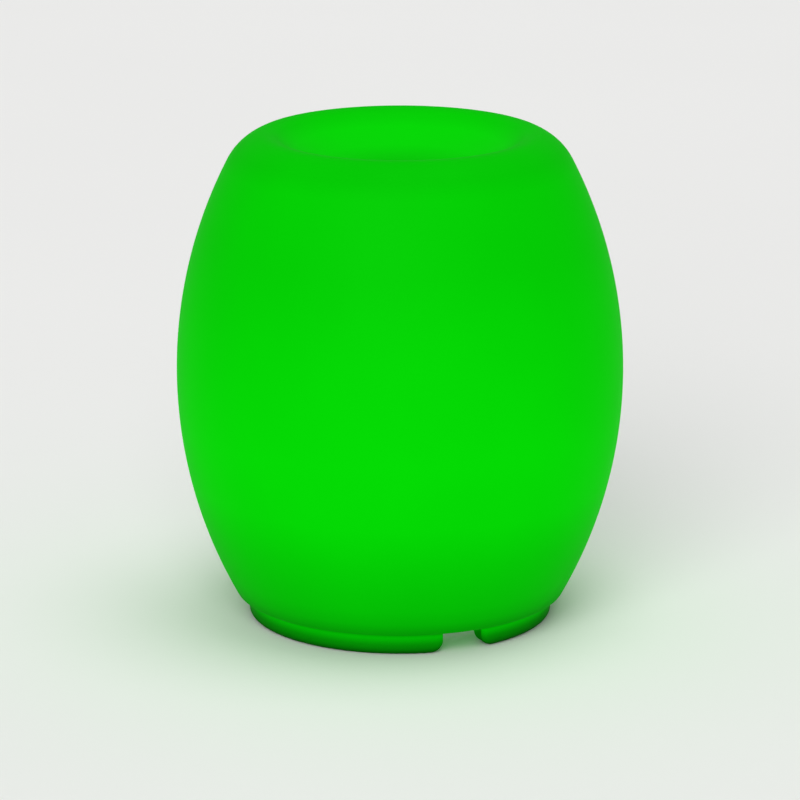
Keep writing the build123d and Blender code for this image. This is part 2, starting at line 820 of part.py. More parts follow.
def make_led_leads():
    """Four leads from the control board up to the light board."""
    leads = []
    for x, y in solder_points:
        low = (x, led_connector_y, connector_mid)
        bend_low = (x, led_connector_y, connector_top + lead_bend_radius)
        bend_high = (x, y, housing_top - lead_bend_radius)
        leads.append(lead((low, bend_low, bend_high, (x, y, led_board_top)), lead_bend_radius / 2))
    return leads


save([make_shell()], "shell")
save(make_inserts(), "base_inserts")
save(make_base_screws(), "base_screws")
save([tube(gasket_outer_radius, gasket_inner_radius, flange_top, recess_z)], "base_gasket")
save([make_housing()], "light_housing")

save([make_led_plate()], "led_plate")
save([make_dome_gasket()], "diffuser_gasket")
save([make_dome()], "diffuser_dome")
save(make_dome_screws(), "diffuser_screws")
save([make_led_board()], "led_board")
save(make_led_packages(), "led_packages")
save(small_screws(led_screw_points, led_board_top), "led_board_screws")
save([make_receiver()], "remote_receiver")

pad_length = pack_length - 2 * pad_margin
pad_width = pack_width - pack_height
save([block(pad_length, pad_width, panel_top, pack_bottom, 0, pack_y)], "battery_pad")
save(make_cells(), "battery_cells")
save([make_sleeve()], "battery_sleeve")
save([make_bracket()], "battery_bracket")
save(small_screws(bracket_points, bracket_post_top + bracket_thickness), "bracket_screws")

save([make_control_board()], "control_board")
save(make_control_chips(), "control_chips")
save(make_capacitors(), "control_capacitors")
save(make_connectors(), "control_connectors")
save(small_screws(post_points, control_top), "control_board_screws")

save([make_button_body()], "button_body")
save([make_button_cap()], "button_cap")
save([make_button_spring()], "button_spring")
save([panel_seal(button_barrel_radius, button_x, button_y)], "button_seal")
save([panel_nut(button_barrel_radius, button_x, button_y)], "button_nut")
save(terminals(button_x, button_y, button_top), "button_terminals")

save([make_socket_body()], "socket_body")
save([make_socket_pin()], "socket_pin")
save([make_socket_cover()], "socket_cover")
save([cross_rod(hinge_pin_radius, hinge_pin_length, socket_x, hinge_y, hinge_z)], "cover_hinge_pin")
save([panel_seal(socket_barrel_radius, socket_x, socket_y)], "socket_seal")
save([panel_nut(socket_barrel_radius, socket_x, socket_y)], "socket_nut")
save(terminals(socket_x, socket_y, socket_top), "socket_terminals")

save(panel_leads(button_x, button_y, button_top), "button_leads")
save(panel_leads(socket_x, socket_y, socket_top), "socket_leads")
save([battery_lead(-1)], "battery_lead_black")
save([battery_lead(1)], "battery_lead_red")
save(make_led_leads(), "led_leads")
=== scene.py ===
import math

import bmesh
import bpy
from bpy.props import FloatProperty, FloatVectorProperty, IntProperty, PointerProperty
from mathutils import Matrix, Vector


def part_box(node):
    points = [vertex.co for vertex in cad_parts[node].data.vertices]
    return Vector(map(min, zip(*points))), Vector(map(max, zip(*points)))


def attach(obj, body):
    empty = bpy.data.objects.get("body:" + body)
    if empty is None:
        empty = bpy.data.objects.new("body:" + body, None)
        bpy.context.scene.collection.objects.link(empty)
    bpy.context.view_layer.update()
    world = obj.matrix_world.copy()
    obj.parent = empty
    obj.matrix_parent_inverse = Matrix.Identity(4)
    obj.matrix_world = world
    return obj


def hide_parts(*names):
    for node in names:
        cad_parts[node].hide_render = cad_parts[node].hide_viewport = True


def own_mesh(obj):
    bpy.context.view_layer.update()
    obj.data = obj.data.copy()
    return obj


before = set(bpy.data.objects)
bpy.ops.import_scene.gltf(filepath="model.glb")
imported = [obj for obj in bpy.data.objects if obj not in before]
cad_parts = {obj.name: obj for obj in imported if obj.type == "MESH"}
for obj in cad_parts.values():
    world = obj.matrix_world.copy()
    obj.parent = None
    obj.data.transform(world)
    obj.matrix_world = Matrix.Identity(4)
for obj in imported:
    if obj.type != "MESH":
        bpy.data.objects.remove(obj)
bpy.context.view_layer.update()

bl_info = {
    "name": "Glowing barrel stool",
    "version": (1, 0, 0),
    "blender": (4, 5, 0),
    "location": "3D View > Sidebar > Stool",
    "description": "Makes a barrel stool that glows, its light unit and a plain studio",
    "category": "Add Mesh",
}


# Sizes and colours that a user would change


def length(name, description, default):
    """A length in metres."""
    return FloatProperty(
        name=name, description=description, default=default, min=0.0, unit="LENGTH", precision=4
    )


def colour(name, description, default):
    """A linear colour."""
    return FloatVectorProperty(
        name=name, description=description, default=default, size=3, min=0.0, max=1.0, subtype="COLOR"
    )


class ShellSizes(bpy.types.PropertyGroup):
    """Sizes of the moulded shell."""

    height: length("Height", "From the floor to where the shoulder's arc would reach", 0.430)
    barrel_radius: length("Barrel radius", "Largest radius of the barrel", 0.194)
    arc_radius: length("Barrel arc", "Radius of the arc that the wall follows", 0.4056)
    arc_height: length("Widest height", "Height of the widest place above the floor", 0.2177)
    rim_radius: length("Rim arc", "Radius of the round shoulder", 0.0496)
    lip_radius: length("Lip arc", "Radius of the rim's top, where it turns into the dish", 0.020)
    lip_height: length("Lip height", "From the floor to the top of the lip", 0.4278)
    dish_depth: length("Dish depth", "From the stool's height down to the dish's middle", 0.038)
    edge_radius: length("Lower edge", "Radius of the edge under the barrel", 0.005)
    inner_edge: length("Inner edge", "Radius of the same edge inside the wall", 0.002)
    wall: length("Wall", "Thickness of the moulded wall", 0.004)
    base_height: length("Base height", "Height of the base above the floor", 0.020)
    foot_radius: length("Foot radius", "Outer radius of the foot ring", 0.1325)
    foot_width: length("Foot width", "Width of the foot ring", 0.022)
    foot_round: length("Foot round", "Radius along the ring's edges", 0.005)
    foot_end_round: length("Foot end round", "Radius of the ring's ends, seen from the side", 0.011)
    gap_width: length("Gap width", "Width of the gap in the foot ring", 0.036)
    channel_round: length("Channel round", "Radius in the ring's hollow", 0.0015)
    recess_radius: length("Recess radius", "Radius of the recess under the base", 0.098)
    recess_depth: length("Recess depth", "Depth of the recess under the base", 0.009)
    opening_radius: length("Opening radius", "Radius of the opening for the light unit", 0.070)
    stations: IntProperty(
        name="Stations", description="Steps of the turned shell round its axis", default=300, min=96
    )


class SpringSizes(bpy.types.PropertyGroup):
    """Sizes of the push button's spring, whose place comes from its CAD node."""

    wire: length("Wire", "Radius of the wire", 0.00035)
    turns: IntProperty(name="Turns", description="Turns of the coil", default=4, min=1)
    travel: length("Travel", "How far the button is pressed", 0.002)


class GlowLook(bpy.types.PropertyGroup):
    """Colours of the lit plastic."""

    plastic: colour("Plastic", "Colour of the plastic by other light", (0.001, 0.20, 0.001))
    brightest: colour("Brightest", "Glow where the lamps are nearest", (0.0, 0.60, 0.0))
    darkest: colour("Darkest", "Glow where no lamp reaches", (0.0, 0.0, 0.0))
    skin: colour("Skin", "Tint of the skin that the glow shines through", (0.82, 0.90, 0.82))
    strength: FloatProperty(name="Strength", description="Strength of the glow", default=1.0, min=0.0)


class StudioLook(bpy.types.PropertyGroup):
    """The camera's place and the studio's light."""

    distance: length("Distance", "From the camera to the stool's axis, along the floor", 3.9)
    eye_height: length("Eye height", "Height of the camera", 1.236)
    azimuth: FloatProperty(
        name="Azimuth",
        description="Side that the camera looks from",
        default=math.radians(-24.7),
        subtype="ANGLE",
    )
    tilt: FloatProperty(
        name="Tilt",
        description="Angle that the camera looks down",
        default=math.radians(15.011),
        subtype="ANGLE",
    )
    lens: FloatProperty(name="Lens", description="Focal length in millimetres", default=208.5, min=1.0)
    floor_colour: colour("Floor", "Colour of the floor", (0.84, 0.84, 0.83))
    sky_colour: colour("Surround", "Colour of the light from all round", (1.0, 1.0, 1.0))
    sky_strength: FloatProperty(name="Surround strength", description="Light from all round", default=0.45)
    front_strength: FloatProperty(name="Front lamp", description="Strength of the front lamp", default=1.7)
    top_strength: FloatProperty(name="Top lamp", description="Strength of the top lamp", default=0.8)


# Drawing with mesh operators

# Edges that turn by more than this stay sharp
SHARP_ANGLE = math.radians(30.0)

# Points nearer to each other than this, in metres, become one
MERGE_DISTANCE = 1e-6


class Outline:
    """Draws a half outline, given as radius and height, in the XZ plane."""

    def __init__(self, mesh, radius, height):
        self.mesh = mesh
        self.first = mesh.verts.new((radius, 0.0, height))
        self.tip = self.first

    def line(self, radius, height, steps=1):
        """A straight run in equal steps."""
        step = (Vector((radius, 0.0, height)) - self.tip.co) / steps
        for _ in range(steps):
            made = bmesh.ops.extrude_vert_indiv(self.mesh, verts=[self.tip])
            self.tip = made["verts"][0]
            self.tip.co += step

    def arc(self, centre, sweep, steps):
        """An arc round a centre; a positive sweep in degrees turns from the radius to the height axis."""
        made = bmesh.ops.spin(
            self.mesh,
            geom=[self.tip],
            cent=(centre[0], 0.0, centre[1]),
            axis=(0.0, -1.0, 0.0),
            angle=math.radians(sweep),
            steps=steps,
            use_merge=False,
        )
        self.tip = next(v for v in made["geom_last"] if isinstance(v, bmesh.types.BMVert))


def spin_round(mesh, stations):
    """Turns the drawn outline round Z into a closed skin."""
    bmesh.ops.spin(
        mesh,
        geom=mesh.verts[:] + mesh.edges[:],
        cent=(0.0, 0.0, 0.0),
        axis=(0.0, 0.0, 1.0),
        angle=math.tau,
        steps=stations,
        use_merge=True,
    )
    bmesh.ops.remove_doubles(mesh, verts=mesh.verts[:], dist=MERGE_DISTANCE)


def finish_piece(mesh, name):
    """Makes an object of a drawn mesh, with its round faces smooth."""
    data = bpy.data.meshes.new(name)
    mesh.to_mesh(data)
    mesh.free()
    data.shade_smooth()
    data.set_sharp_from_angle(angle=SHARP_ANGLE)
    piece = bpy.data.objects.new(name, data)
    bpy.context.scene.collection.objects.link(piece)
    return piece


# Shader trees

# Places of the colour sockets on a Mix node
MIX_FACTOR, MIX_FIRST, MIX_SECOND, MIX_RESULT = 0, 6, 7, 2


class Value:
    """An output in a material; an operator used on it adds a Math node."""

    def __init__(self, finish, socket):
        self.finish = finish
        self.socket = socket

    def math(self, operation, *operands, clamp=False):
        """A Math node on these operands."""
        settings = {"operation": operation, "use_clamp": clamp}
        return self.finish.node("ShaderNodeMath", settings, dict(enumerate(operands)))

    def __add__(self, other):
        return self.math("ADD", self, other)

    def __radd__(self, other):
        return self.math("ADD", other, self)

    def __sub__(self, other):
        return self.math("SUBTRACT", self, other)

    def __rsub__(self, other):
        return self.math("SUBTRACT", other, self)

    def __mul__(self, other):
        return self.math("MULTIPLY", self, other)

    def __rmul__(self, other):
        return self.math("MULTIPLY", other, self)

    def __truediv__(self, other):
        return self.math("DIVIDE", self, other)

    def __rtruediv__(self, other):
        return self.math("DIVIDE", other, self)

    def __pow__(self, other):
        return self.math("POWER", self, other)

    def __rpow__(self, other):
        return self.math("POWER", other, self)

    def __gt__(self, other):
        return self.math("GREATER_THAN", self, other)

    def __lt__(self, other):
        return self.math("LESS_THAN", self, other)

    def held(self):
        """The same number, kept between 0 and 1."""
        return self.math("ADD", self, 0.0, clamp=True)

    def smooth(self, low, high):
        """0 below low, 1 above high and a soft step between them."""
        return self.finish.node(
            "ShaderNodeMapRange",
            {"interpolation_type": "SMOOTHSTEP"},
            {"Value": self, "From Min": low, "From Max": high},
        )


class Finish:
    """A material and the nodes that make its surface."""

    def __init__(self, name, **constants):
        self.material = bpy.data.materials.new(name)
        self.material.use_nodes = True
        self.tree = self.material.node_tree
        self.tree.nodes.clear()
        self.output = self.tree.nodes.new("ShaderNodeOutputMaterial")
        sockets = {key.replace("_", " "): value for key, value in constants.items()}
        self.shader = self.node("ShaderNodeBsdfPrincipled", sockets=sockets)
        self.show(self.shader)
        self.place = self.node("ShaderNodeTexCoord", output="Object")
        self.x, self.y, self.z = self.split(self.place)
        self.radius = (self.x * self.x + self.y * self.y) ** 0.5

    def node(self, kind, settings=None, sockets=None, output=0):
        """Any node: first its settings, then its sockets' values or links."""
        node = self.tree.nodes.new(kind)
        for key, value in (settings or {}).items():
            if key == "stops":
                self.set_stops(node.color_ramp, value)
            else:
                setattr(node, key, value)
        for key, value in (sockets or {}).items():
            if isinstance(value, Value):
                self.tree.links.new(value.socket, node.inputs[key])
            elif node.inputs[key].type == "RGBA":
                node.inputs[key].default_value = (*value, 1.0)
            else:
                node.inputs[key].default_value = value
        return Value(self, node.outputs[output])

    def set_stops(self, ramp, stops):
        """Gives a ramp its stops, as places and grey levels."""
        while len(ramp.elements) < len(stops):
            ramp.elements.new(1.0)
        for element, (place, level) in zip(ramp.elements, stops):
            element.position = place
            element.color = (level, level, level, 1.0)

    def show(self, surface):
        """Makes this shader the material's surface."""
        self.tree.links.new(surface.socket, self.output.inputs["Surface"])

    def split(self, vector):
        """The three parts of a vector."""
        sockets = {"Vector": vector}
        return [self.node("ShaderNodeSeparateXYZ", sockets=sockets, output=axis) for axis in "XYZ"]

    def ramp(self, value, stops):
        """A grey level read from a ramp."""
        return self.node("ShaderNodeValToRGB", {"stops": stops}, {"Fac": value})

    def stretched(self, x=1.0, y=1.0, z=1.0):
        """The object's coordinates, scaled along each axis."""
        return self.node("ShaderNodeMapping", sockets={"Vector": self.place, "Scale": (x, y, z)})

    def noise(self, scale, detail=2.0, roughness=0.5, place=None, distortion=0.0):
        """Noise about one half; scale is its number of waves in a metre."""
        sockets = {
            "Vector": place or self.place,
            "Scale": scale,
            "Detail": detail,
            "Roughness": roughness,
            "Distortion": distortion,
        }
        return self.node("ShaderNodeTexNoise", sockets=sockets, output="Fac")

    def cells(self, scale, feature="F1", place=None, randomness=1.0):
        """Distance in a field of cells."""
        sockets = {"Vector": place or self.place, "Scale": scale, "Randomness": randomness}
        return self.node("ShaderNodeTexVoronoi", {"feature": feature}, sockets, output="Distance")

    def mix(self, factor, first, second):
        """A colour between two colours."""
        sockets = {MIX_FACTOR: factor, MIX_FIRST: first, MIX_SECOND: second}
        return self.node("ShaderNodeMix", {"data_type": "RGBA"}, sockets, MIX_RESULT)

    def surface(self, **links):
        """Joins values to the shader's sockets."""
        for key, value in links.items():
            self.tree.links.new(value.socket, self.shader.socket.node.inputs[key.replace("_", " ")])

    def bump(self, height, distance):
        """Raises the surface by a height between 0 and 1 times distance."""
        sockets = {"Height": height, "Distance": distance}
        self.surface(Normal=self.node("ShaderNodeBump", sockets=sockets, output="Normal"))


def shade(rgb, factor):
    """A colour made darker or lighter."""
    return tuple(min(1.0, channel * factor) for channel in rgb)


# How the glow runs over the wall, as heights in metres and levels from 0 to 1. The levels of both ramps were
# fitted to how bright the photograph is down its middle.
WALL_GLOW = (
    (0.000, 0.00),
    (0.004, 0.04),
    (0.009, 0.16),
    (0.015, 0.60),
    # The dip at 0.019 and 0.023 m, where the ring meets the barrel's lower edge, is partly the glow fading
    # there and partly painted shade under the barrel's overhang.
    (0.019, 0.37),
    (0.023, 0.34),
    (0.032, 0.54),
    (0.045, 0.66),
    (0.085, 0.78),
    (0.125, 0.94),
    (0.180, 0.97),
    (0.240, 0.90),
    (0.340, 0.76),
    (0.400, 0.75),
    (0.414, 0.66),
    (0.428, 0.67),
)

# The same for the dish, as radii
DISH_GLOW = (
    (0.000, 0.64),
    (0.040, 0.66),
    (0.052, 0.75),
    (0.066, 0.85),
    (0.090, 0.85),
    (0.105, 0.71),
    (0.116, 0.67),
)

# The dish's ramp is used this far inside the lip's crest, and no lower than this under the stool's height
CREST_MARGIN = 0.0001
DISH_ROOM = 0.06


def glowing_plastic(look, height):
    """Satin moulded plastic that is lit from inside, and looks darker where its skin is seen at a slant."""
    finish = Finish(
        "glowing plastic",
        Specular_IOR_Level=0.012,
        Coat_Weight=0.5,
        Coat_Roughness=0.5,
        Coat_IOR=1.02,
        Coat_Tint=look.skin,
        Emission_Strength=look.strength,
    )
    wall = finish.ramp(finish.z / height, [(z / height, level) for z, level in WALL_GLOW])
    reach = DISH_GLOW[-1][0]
    dish = finish.ramp(finish.radius / reach, [(r / reach, level) for r, level in DISH_GLOW])
    in_dish = (finish.radius < reach - CREST_MARGIN) * (finish.z > height - DISH_ROOM)
    level = wall + in_dish * (dish - wall)
    thickness = finish.noise(7.0, 3.0, 0.5)
    flow = finish.noise(26.0, 2.0, 0.5, place=finish.stretched(1.0, 1.0, 0.35))
    level = level * (1.0 + (thickness - 0.5) * 0.07 + (flow - 0.5) * 0.03)
    grain = finish.noise(1400.0, 2.0, 0.6)
    pores = finish.cells(420.0)
    level = level * (1.0 + (grain - 0.5) * 0.03)
    low = 1.0 - finish.z.smooth(0.002, 0.05)
    scuff = finish.noise(90.0, 5.0, 0.7, place=finish.stretched(1.0, 1.0, 2.6)).smooth(0.56, 0.74) * low
    # Painted contact shade: the base colour turns dark over the lowest 8 mm, next to the floor.
    painted_contact_shade = 1.0 - finish.z.smooth(0.0, 0.008)
    glow = finish.mix(level.held(), tuple(look.darkest), tuple(look.brightest))
    tone = (thickness * 0.6 + grain * 0.4).held()
    body = finish.mix(tone, shade(look.plastic, 0.86), shade(look.plastic, 1.16))
    finish.surface(
        # The dark plastic is laid on by the scuffs near the floor and by the painted contact shade.
        Base_Color=finish.mix((scuff * 0.35 + painted_contact_shade * 0.6).held(), body, shade(look.plastic, 0.3)),
        Emission_Color=glow,
        Roughness=(0.55 + (grain - 0.5) * 0.10 + scuff * 0.14).held(),
    )
    finish.bump(grain * 0.65 + pores * 0.35, 0.00006)
    return finish.material


def moulded_plastic(name, tint, roughness, grain_scale=1500.0, depth=0.00005):
    """Moulded plastic with a fine grain, faint flow marks and rubbed patches."""
    finish = Finish(name)
    grain = finish.noise(grain_scale, 3.0, 0.6)
    flow = finish.noise(34.0, 3.0, 0.5, distortion=0.6)
    rubbed = finish.noise(120.0, 5.0, 0.7).smooth(0.58, 0.75)
    tone = (flow * 0.6 + grain * 0.4).held()
    finish.surface(
        Base_Color=finish.mix(tone, shade(tint, 0.9), shade(tint, 1.1)),
        Roughness=(roughness + (grain - 0.5) * 0.14 - rubbed * 0.08).held(),
    )
    finish.bump(grain, depth)
    return finish.material


def worked_metal(name, tint, roughness, along=(1.0, 1.0, 14.0), scale=520.0):
    """Metal with fine tool marks along one direction and small dull stains."""
    finish = Finish(name, Metallic=1.0)
    marks = finish.noise(scale, 3.0, 0.65, place=finish.stretched(*along))
    stains = finish.noise(160.0, 4.0, 0.6).smooth(0.52, 0.78)
    finish.surface(
        Base_Color=finish.mix((marks * 0.5 + stains * 0.5).held(), shade(tint, 1.08), shade(tint, 0.74)),
        Roughness=(roughness + (marks - 0.5) * 0.16 + stains * 0.12).held(),
    )
    finish.bump(marks, 0.00002)
    return finish.material


def soft_rubber(name, tint, roughness=0.78):
    """Matt rubber with a bloom of fine dust and shallow pits."""
    finish = Finish(name, Specular_IOR_Level=0.3)
    dust = finish.noise(240.0, 5.0, 0.7)
    pits = finish.cells(1300.0)
    bloom = dust.smooth(0.45, 0.8)
    finish.surface(
        Base_Color=finish.mix(bloom * 0.5, tint, shade(tint, 2.2)),
        Roughness=(roughness + (dust - 0.5) * 0.16).held(),
    )
    finish.bump(pits, 0.00005)
    return finish.material


def foam(name, tint):
    """Open foam with small torn cells."""
    finish = Finish(name, Roughness=0.95, Specular_IOR_Level=0.15)
    cells = finish.cells(950.0)
    walls_and_pore_shade = cells.smooth(0.15, 0.75)
    # Painted shade: the cells' hollows are made dark and their walls light, after the same mask that raises
    # the walls.
    finish.surface(Base_Color=finish.mix(walls_and_pore_shade, shade(tint, 0.45), shade(tint, 1.25)))
    finish.bump(walls_and_pore_shade, 0.0003)
    return finish.material


def printed_board(name, mask, metal, traces=260.0):
    """A board with a solder mask, copper runs under it and bare tinned dots."""
    finish = Finish(name, Specular_IOR_Level=0.5, Coat_Weight=0.35, Coat_Roughness=0.25)
    flat = finish.stretched(1.0, 1.0, 0.0)
    runs = 1.0 - finish.cells(traces, "DISTANCE_TO_EDGE", flat, 0.55).smooth(0.05, 0.11)
    tinned = 1.0 - finish.cells(traces * 1.7, place=flat, randomness=0.8).smooth(0.13, 0.18)
    weave = finish.noise(2400.0, 1.0, 0.5, place=flat)
    covered = finish.mix(runs * 0.75, shade(mask, 0.92), shade(mask, 1.35))
    finish.surface(
        Base_Color=finish.mix(tinned, covered, metal),
        Metallic=tinned,
        Roughness=(0.42 + (weave - 0.5) * 0.14 - tinned * 0.1).held(),
    )
    finish.bump(runs * 0.6 + tinned * 0.4, 0.00004)
    return finish.material


# How far the phosphor lies below the top of a light package, in metres
WINDOW_DEPTH = 0.0002

# A face whose normal rises by more than this looks up
LOOKS_UP = 0.6


def light_package(name, housing, phosphor, floor_height):
    """White package whose window is filled with yellow phosphor."""
    finish = Finish(name, Roughness=0.4)
    upward = finish.split(finish.node("ShaderNodeTexCoord", output="Normal"))[2]
    window = (upward > LOOKS_UP) * (finish.z < floor_height)
    grain = finish.noise(5200.0, 2.0, 0.6)
    finish.surface(
        Base_Color=finish.mix(window, finish.mix(grain, shade(housing, 0.92), housing), phosphor),
        Roughness=(0.34 + window * 0.3 + (grain - 0.5) * 0.1).held(),
    )
    finish.bump(grain, 0.00003)
    return finish.material


def shrink_sleeve(name, tint):
    """Glossy shrink sleeve with tight creases along its cells."""
    finish = Finish(name, Specular_IOR_Level=0.55)
    creases = finish.noise(70.0, 4.0, 0.6, place=finish.stretched(0.5, 2.4, 2.4), distortion=1.2)
    fine = finish.noise(900.0, 2.0, 0.5)
    finish.surface(
        # Painted shade and painted highlight: the colour is darker in the creases' folds and lighter on
        # their ridges.
        Base_Color=finish.mix(creases, shade(tint, 0.8), shade(tint, 1.25)),
        Roughness=(0.24 + creases * 0.16 + (fine - 0.5) * 0.06).held(),
    )
    finish.bump(creases * 0.9 + fine * 0.1, 0.00025)
    return finish.material


def milky_diffuser(name, tint):
    """Opal plastic that is lit from below."""
    finish = Finish(
        name, Roughness=0.42, Specular_IOR_Level=0.45, Transmission_Weight=0.25, Emission_Strength=0.25
    )
    cloud = finish.noise(40.0, 3.0, 0.5)
    grain = finish.noise(1700.0, 2.0, 0.6)
    finish.surface(
        Base_Color=finish.mix(cloud, shade(tint, 0.94), tint),
        Emission_Color=finish.mix(cloud, (0.0, 0.75, 0.02), (0.0, 0.92, 0.03)),
        Roughness=(0.4 + (grain - 0.5) * 0.12).held(),
    )
    finish.bump(grain, 0.00004)
    return finish.material


def lead_cover(name, tint):
    """Soft lead insulation with fine drawing marks and patches where it was handled."""
    finish = Finish(name, Specular_IOR_Level=0.45)
    drawn = finish.noise(900.0, 3.0, 0.6, place=finish.stretched(1.0, 1.0, 0.25))
    handled = finish.noise(210.0, 3.0, 0.5)
    finish.surface(
        Base_Color=finish.mix((drawn * 0.5 + handled * 0.5).held(), shade(tint, 0.82), shade(tint, 1.18)),
        Roughness=(0.46 + (drawn - 0.5) * 0.18).held(),
    )
    finish.bump(drawn, 0.00003)
    return finish.material


def cell_can(name):
    """Nickel cell cans with faint drawing marks and dull stains."""
    finish = Finish(name, Metallic=1.0)
    drawn = finish.noise(600.0, 3.0, 0.6, place=finish.stretched(0.08, 1.0, 1.0))
    stains = finish.noise(120.0, 4.0, 0.6).smooth(0.5, 0.8)
    finish.surface(
        Base_Color=finish.mix((drawn * 0.4 + stains * 0.6).held(), (0.72, 0.71, 0.68), (0.45, 0.44, 0.42)),
        Roughness=(0.24 + drawn * 0.14 + stains * 0.14).held(),
    )
    finish.bump(drawn, 0.00002)
    return finish.material


def dress(material, *nodes):
    """Gives CAD nodes a finished material."""
    for name in nodes:
        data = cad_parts[name].data
        if not data.materials:
            data.materials.append(material)
        for index in range(len(data.materials)):
            data.materials[index] = material


# The shell's mesh

# How near a point has to be to count as on a surface, in metres
TOLERANCE = 1e-5

# The least step between points on the base beside the ring's end, in metres
GAP_MARGIN = 0.001

# Steps along the lower edge, the wall, the shoulder, the lip and the dish, outside and inside
OUTER_STEPS = (6, 72, 20, 22, 36)
INNER_STEPS = (2, 16, 5, 4, 10)


def outer_outline(mesh, s):
    """Outline of the shell's outer skin, from the base opening round the foot ring to the top of its outer
    side.
    """
    recess_z = s.base_height + s.recess_depth
    inner_foot = s.foot_radius - s.foot_width
    pen = Outline(mesh, s.opening_radius, recess_z)
    pen.line(s.recess_radius, recess_z, 2)
    pen.line(s.recess_radius, s.base_height, 3)
    pen.line(inner_foot, s.base_height, 2)
    pen.line(inner_foot, s.foot_round, 5)
    pen.arc((inner_foot + s.foot_round, s.foot_round), 90.0, 6)
    pen.line(s.foot_radius - s.foot_round, 0.0, 4)
    pen.arc((s.foot_radius - s.foot_round, s.foot_round), 90.0, 6)
    pen.line(s.foot_radius, s.base_height, 5)
    return pen


def barrel_outline(pen, s, inset, corner, steps):
    """Runs from under the barrel, up its wall, over the rim and down to the dish's middle."""
    arc = s.arc_radius - inset
    axis_x = s.barrel_radius - s.arc_radius
    rim_z = s.height - s.rim_radius
    lip_z = s.lip_height - s.lip_radius
    rim_x = axis_x + math.sqrt((s.arc_radius - s.rim_radius) ** 2 - (rim_z - s.arc_height) ** 2)
    crest = rim_x + math.sqrt((s.rim_radius - s.lip_radius) ** 2 - (lip_z - rim_z) ** 2)
    depth = s.lip_height - s.height + s.dish_depth
    dish = (crest**2 + depth**2 - 2 * s.lip_radius * depth) / (2 * depth)
    dish_z = s.lip_height - depth + dish
    corner_z = s.base_height + inset + corner
    rise = corner_z - s.arc_height
    corner_x = axis_x + math.sqrt((arc - corner) ** 2 - rise**2)
    low = math.degrees(math.atan2(rise, corner_x - axis_x))
    high = math.degrees(math.atan2(rim_z - s.arc_height, rim_x - axis_x))
    top = math.degrees(math.atan2(lip_z - rim_z, crest - rim_x))
    lip = math.degrees(math.atan2(dish_z - lip_z, -crest))
    bowl = math.degrees(math.atan2(lip_z - dish_z, crest))
    corner_steps, wall_steps, rim_steps, lip_steps, dish_steps = steps
    pen.line(corner_x, s.base_height + inset, 3)
    pen.arc((corner_x, corner_z), low + 90.0, corner_steps)
    pen.arc((axis_x, s.arc_height), high - low, wall_steps)
    pen.arc((rim_x, rim_z), top - high, rim_steps)
    pen.arc((crest, lip_z), lip - top, lip_steps)
    pen.arc((0.0, dish_z), -90.0 - bowl, dish_steps)
    pen.tip.co.x = 0.0


def end_gap(mesh, s, inset):
    """Opens the foot ring's gap and turns the ring's skin round its ends.

    Stations are counted from the middle of the gap. Before the first mark the skin lies flat on the base
    inside the gap, between the first and the second it turns round the ring's end, and from the third on it
    is as it was spun. inset is 0 for the outer skin and the wall's thickness for the hollow inside the ring.
    """
    flat, turned, spun = 6, 16, 26
    low = inset
    top = s.base_height + inset
    outer = s.foot_radius - inset
    inner = s.foot_radius - s.foot_width + inset
    corner = s.channel_round if inset else s.foot_round
    curve = s.foot_end_round - inset
    axis_x = s.gap_width / 2 + s.foot_end_round
    first_top = axis_x - curve + corner + GAP_MARGIN
    height = top - low
    path = 2 * height + outer - inner
    for vert in mesh.verts:
        radius = math.hypot(vert.co.x, vert.co.y)
        z = vert.co.z
        inside = inner - TOLERANCE < radius < outer + TOLERANCE and low - TOLERANCE < z < top + TOLERANCE
        angle = math.atan2(vert.co.x, -vert.co.y)
        station = round(abs(angle) / math.tau * s.stations)
        if station >= spun or not inside:
            continue
        depth = min(z - low, corner)
        rise = max(z - low - corner, 0.0) / (height - corner)
        if station < flat:
            if rise > 0.0 or depth > TOLERANCE:
                along = top - z if radius < (inner + outer) / 2 else path - (top - z)
            else:
                along = height + radius - inner
            radius = inner + (outer - inner) * along / path
            x = (s.gap_width / 2 + inset) * station / flat
            z = top
        else:
            share = min((station - flat) / (turned - flat), 1.0)
            turn = min((turned - station) / (turned - flat - 1), 1.0) * math.pi / 2 if share < 1.0 else 0.0
            x_low = axis_x - (curve - depth) * math.sin(turn)
            z_low = top if station == flat else s.foot_end_round - (curve - depth) * math.cos(turn)
            x_top = first_top + (axis_x - first_top) * share
            x = x_low + (x_top - x_low) * rise
            z = z_low + (top - z_low) * rise
        new_angle = math.asin(x / radius)
        if station > turned:
            share = (station - turned) / (spun - turned)
            new_angle += (math.tau * spun / s.stations - new_angle) * share
        side = math.copysign(1.0, angle)
        vert.co = (side * radius * math.sin(new_angle), -radius * math.cos(new_angle), z)


